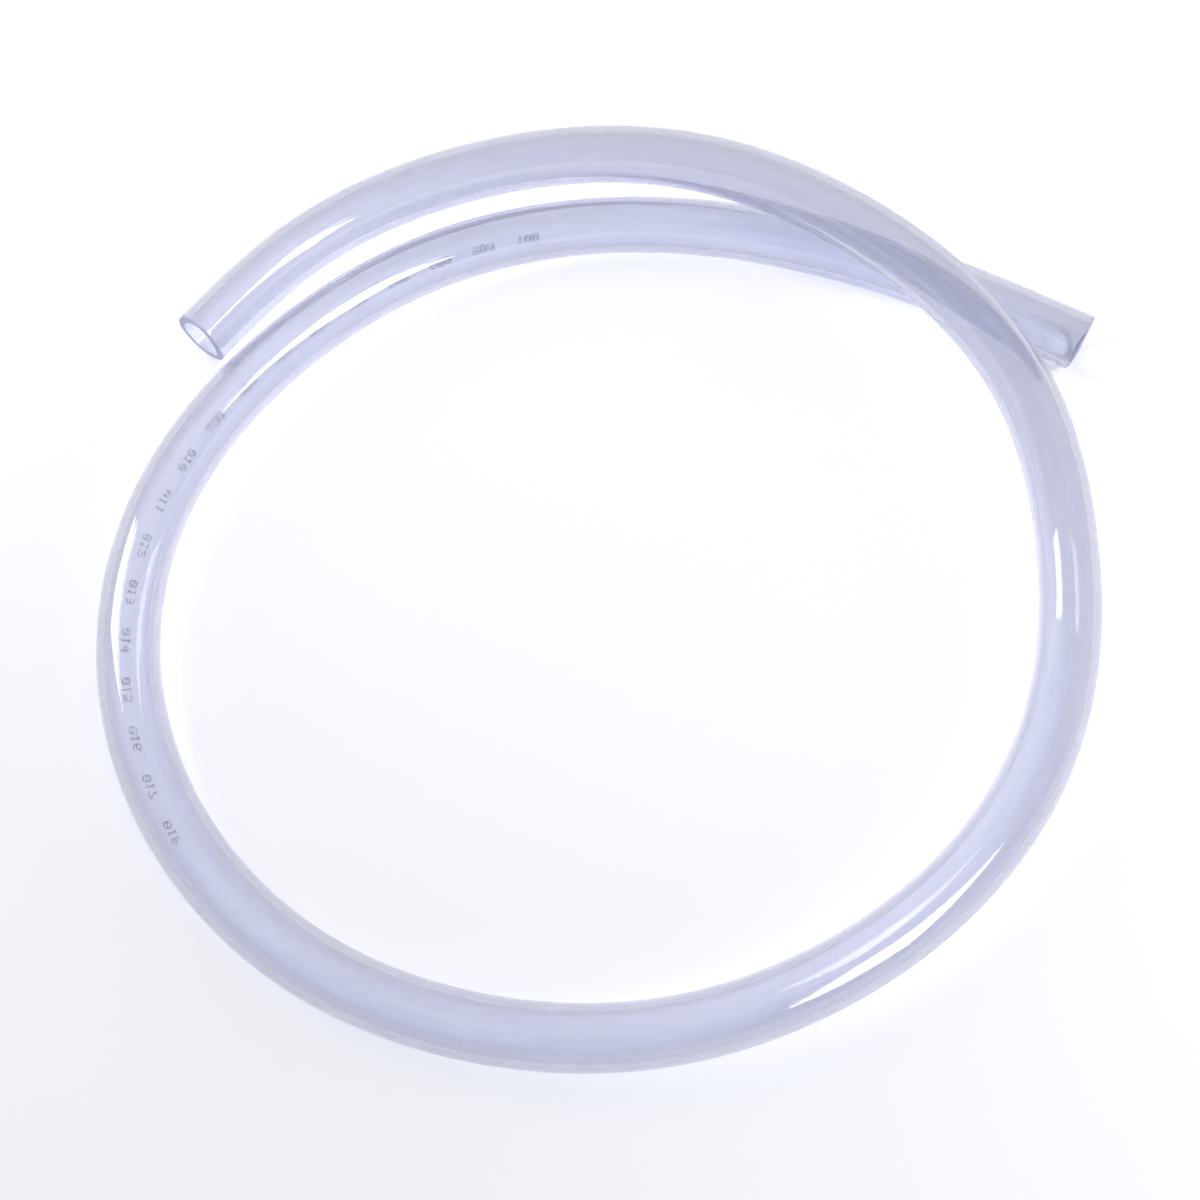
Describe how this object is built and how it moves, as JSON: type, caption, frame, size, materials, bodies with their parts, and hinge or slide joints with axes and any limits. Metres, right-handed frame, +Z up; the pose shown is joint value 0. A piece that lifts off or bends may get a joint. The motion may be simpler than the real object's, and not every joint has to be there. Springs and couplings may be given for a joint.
{
  "type": "pvc hose",
  "caption": "Length of clear soft PVC hose, round with a plain bore and square cut ends, lying as a loose loop that crosses over its own far end.",
  "frame": {"origin": "centre of the loop's footprint, on the floor it lies on", "axes": "+Z up off the floor; the picture looks from -Y and above, with +X to the right, so the far end with the cut facing right is at +X"},
  "size_m": [0.2725, 0.2618, 0.0332],
  "materials": {
    "clear_pvc": "gloss"
  },
  "bodies": {
    "root": {"hose": "clear_pvc"}
  },
  "joints": []
}
